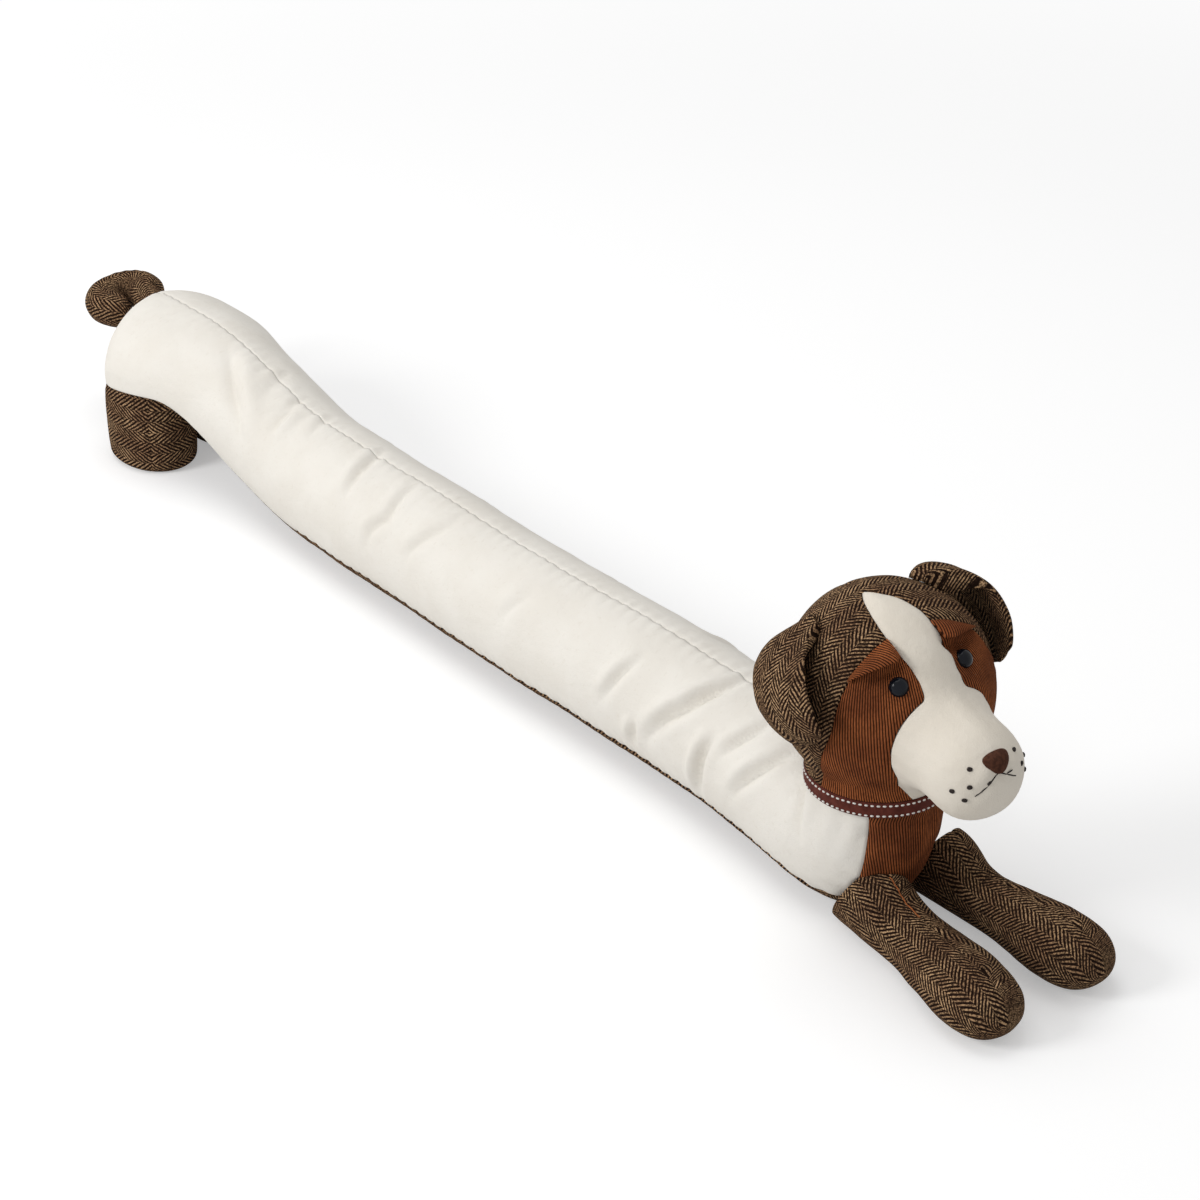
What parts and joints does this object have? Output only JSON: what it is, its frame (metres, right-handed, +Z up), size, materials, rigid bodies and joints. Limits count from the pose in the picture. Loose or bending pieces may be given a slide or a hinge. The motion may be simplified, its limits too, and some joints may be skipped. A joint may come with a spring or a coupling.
{
  "type": "stuffed dog draught excluder",
  "caption": "Long stuffed dog that lies along the foot of a door and stops draughts, with tweed legs, tail and ears, a cream body and a ribbon collar.",
  "frame": {"origin": "on the floor, in the middle of the flat underside of the base panel", "axes": "+X along the body to the head, +Y to the dog's left, +Z up"},
  "size_m": [1.0465, 0.1551, 0.2148],
  "materials": {
    "cream_calico": "plain cream cotton",
    "brown_tweed": "dark brown and tan herringbone tweed",
    "rust_corduroy": "fine-waled rust brown corduroy",
    "white_wadding": "polyester fibre filling",
    "collar_ribbon": "dark brown ribbon with two rows of pale running stitches",
    "nose_cloth": "brown cloth",
    "black_plastic": "glossy black",
    "black_thread": "black-brown embroidery thread"
  },
  "bodies": {
    "root": {"body_filling": "white_wadding", "cover_right": "cream_calico", "cover_left": "cream_calico", "base_panel": "brown_tweed", "chest_panel": "rust_corduroy", "rear_leg_right": "brown_tweed", "rear_leg_left": "brown_tweed", "front_leg_right": "brown_tweed", "front_leg_left": "brown_tweed", "tail": "brown_tweed", "head_filling": "white_wadding", "head_crown": "brown_tweed", "cheek_right": "rust_corduroy", "cheek_left": "rust_corduroy", "muzzle_panel": "cream_calico", "eye_right": "black_plastic", "eye_left": "black_plastic", "nose": "nose_cloth", "whisker_right_1": "black_thread", "whisker_right_2": "black_thread", "whisker_right_3": "black_thread", "whisker_right_4": "black_thread", "whisker_left_1": "black_thread", "whisker_left_2": "black_thread", "whisker_left_3": "black_thread", "whisker_left_4": "black_thread", "mouth_thread": "black_thread", "ear_right": "brown_tweed", "ear_left": "brown_tweed", "collar_ribbon": "collar_ribbon"}
  },
  "joints": []
}
